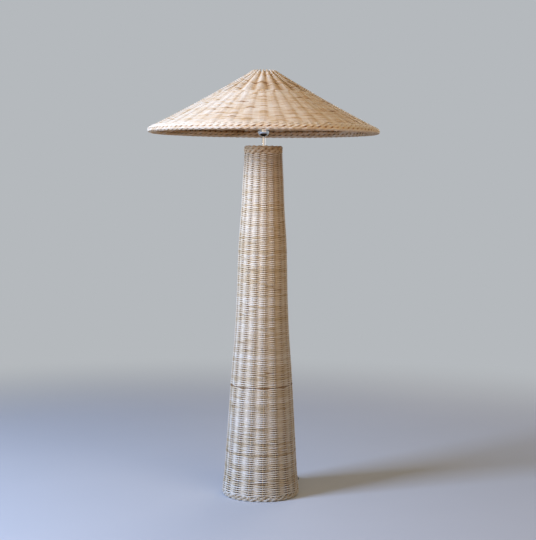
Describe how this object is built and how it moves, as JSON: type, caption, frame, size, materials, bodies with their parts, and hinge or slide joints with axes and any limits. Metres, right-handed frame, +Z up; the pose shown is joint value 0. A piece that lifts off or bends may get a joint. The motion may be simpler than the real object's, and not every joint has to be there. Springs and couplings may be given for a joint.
{
  "type": "floor lamp",
  "caption": "Floor lamp with a tall tapered woven cane column on a weighted foot, a chrome stem and lampholder, and a wide cone shade of woven cane.",
  "frame": {"origin": "on the floor, on the column's axis", "axes": "+Z up along the column, +Y towards the back, where the cord leaves, +X to the right seen from the front"},
  "size_m": [0.824, 0.824, 1.5],
  "materials": {
    "column_cane": "raw split cane, woven",
    "border_cane": "raw cane, plaited",
    "shade_cane": "raw split cane, woven",
    "frame_steel": "satin dark lacquer",
    "zinc_steel": "zinc plated",
    "base_iron": "black lacquered casting",
    "foot_felt": "pressed felt",
    "stem_chrome": "polished plating",
    "holder_thermoset": "moulded, satin",
    "contact_brass": "stamped",
    "cord_sheath": "extruded, satin",
    "switch_plastic": "moulded, fine grain",
    "bulb_cap": "rolled thread",
    "bulb_glass": "opal"
  },
  "bodies": {
    "stand": {"column_weave": "column_cane", "column_top_border": "border_cane", "column_foot_border": "border_cane", "frame_ring_top": "frame_steel", "frame_ring_middle": "frame_steel", "frame_upright_1": "frame_steel", "frame_upright_2": "frame_steel", "frame_upright_3": "frame_steel", "frame_upright_4": "frame_steel", "top_bridge": "frame_steel", "bridge_nut": "zinc_steel", "plate_nut_upper": "zinc_steel", "plate_nut_lower": "zinc_steel", "base_plate": "base_iron", "foot_pad_1": "foot_felt", "foot_pad_2": "foot_felt", "foot_pad_3": "foot_felt", "foot_pad_4": "foot_felt", "stem_pipe": "stem_chrome", "cup_nipple": "zinc_steel", "cup_nut": "zinc_steel", "holder_cup": "stem_chrome", "holder_body": "holder_thermoset", "centre_contact": "contact_brass", "side_contact": "contact_brass", "terminal_screw_1": "contact_brass", "terminal_screw_2": "contact_brass", "inner_cord": "cord_sheath", "cord_gland": "switch_plastic", "floor_cord": "cord_sheath", "switch_base": "switch_plastic", "switch_cover": "switch_plastic", "switch_spring": "zinc_steel", "switch_cord": "cord_sheath", "cord_coil": "cord_sheath", "plug_cord": "cord_sheath", "plug_boot": "switch_plastic", "plug_body": "switch_plastic", "plug_pin_1": "zinc_steel", "plug_pin_2": "zinc_steel"},
    "shade": {"shade_weave": "shade_cane", "shade_rim_border": "shade_cane", "shade_top_border": "shade_cane", "shade_rim_wire": "frame_steel", "shade_top_wire": "frame_steel", "shade_rib_1": "frame_steel", "shade_rib_2": "frame_steel", "shade_rib_3": "frame_steel", "shade_rib_4": "frame_steel", "fitter_ring": "frame_steel", "fitter_arm_1": "frame_steel", "fitter_arm_2": "frame_steel", "fitter_arm_3": "frame_steel"},
    "shade_ring": {"shade_ring": "holder_thermoset"},
    "bulb": {"bulb_tip": "contact_brass", "bulb_cap": "bulb_cap", "bulb_glass": "bulb_glass"},
    "switch_button": {"switch_button": "switch_plastic"}
  },
  "joints": [
    {"name": "shade_turn", "type": "hinge", "parent": "stand", "child": "shade", "pos_m": [0, 0, 1.3068], "axis": [0, 0, 1], "continuous": true},
    {"name": "shade_ring_turn", "type": "hinge", "parent": "stand", "child": "shade_ring", "pos_m": [0, 0, 1.313], "axis": [0, 0, 1], "range_deg": [0, 1080]},
    {"name": "bulb_turn", "type": "hinge", "parent": "stand", "child": "bulb", "pos_m": [0, 0, 1.31], "axis": [0, 0, 1], "range_deg": [0, 1080]},
    {"name": "switch_press", "type": "slide", "parent": "stand", "child": "switch_button", "axis": [0, 0, -1], "range_m": [0, 0.003], "stiffness_N_per_m": 600, "springref_m": -0.004, "deforming": ["switch_spring"]}
  ]
}
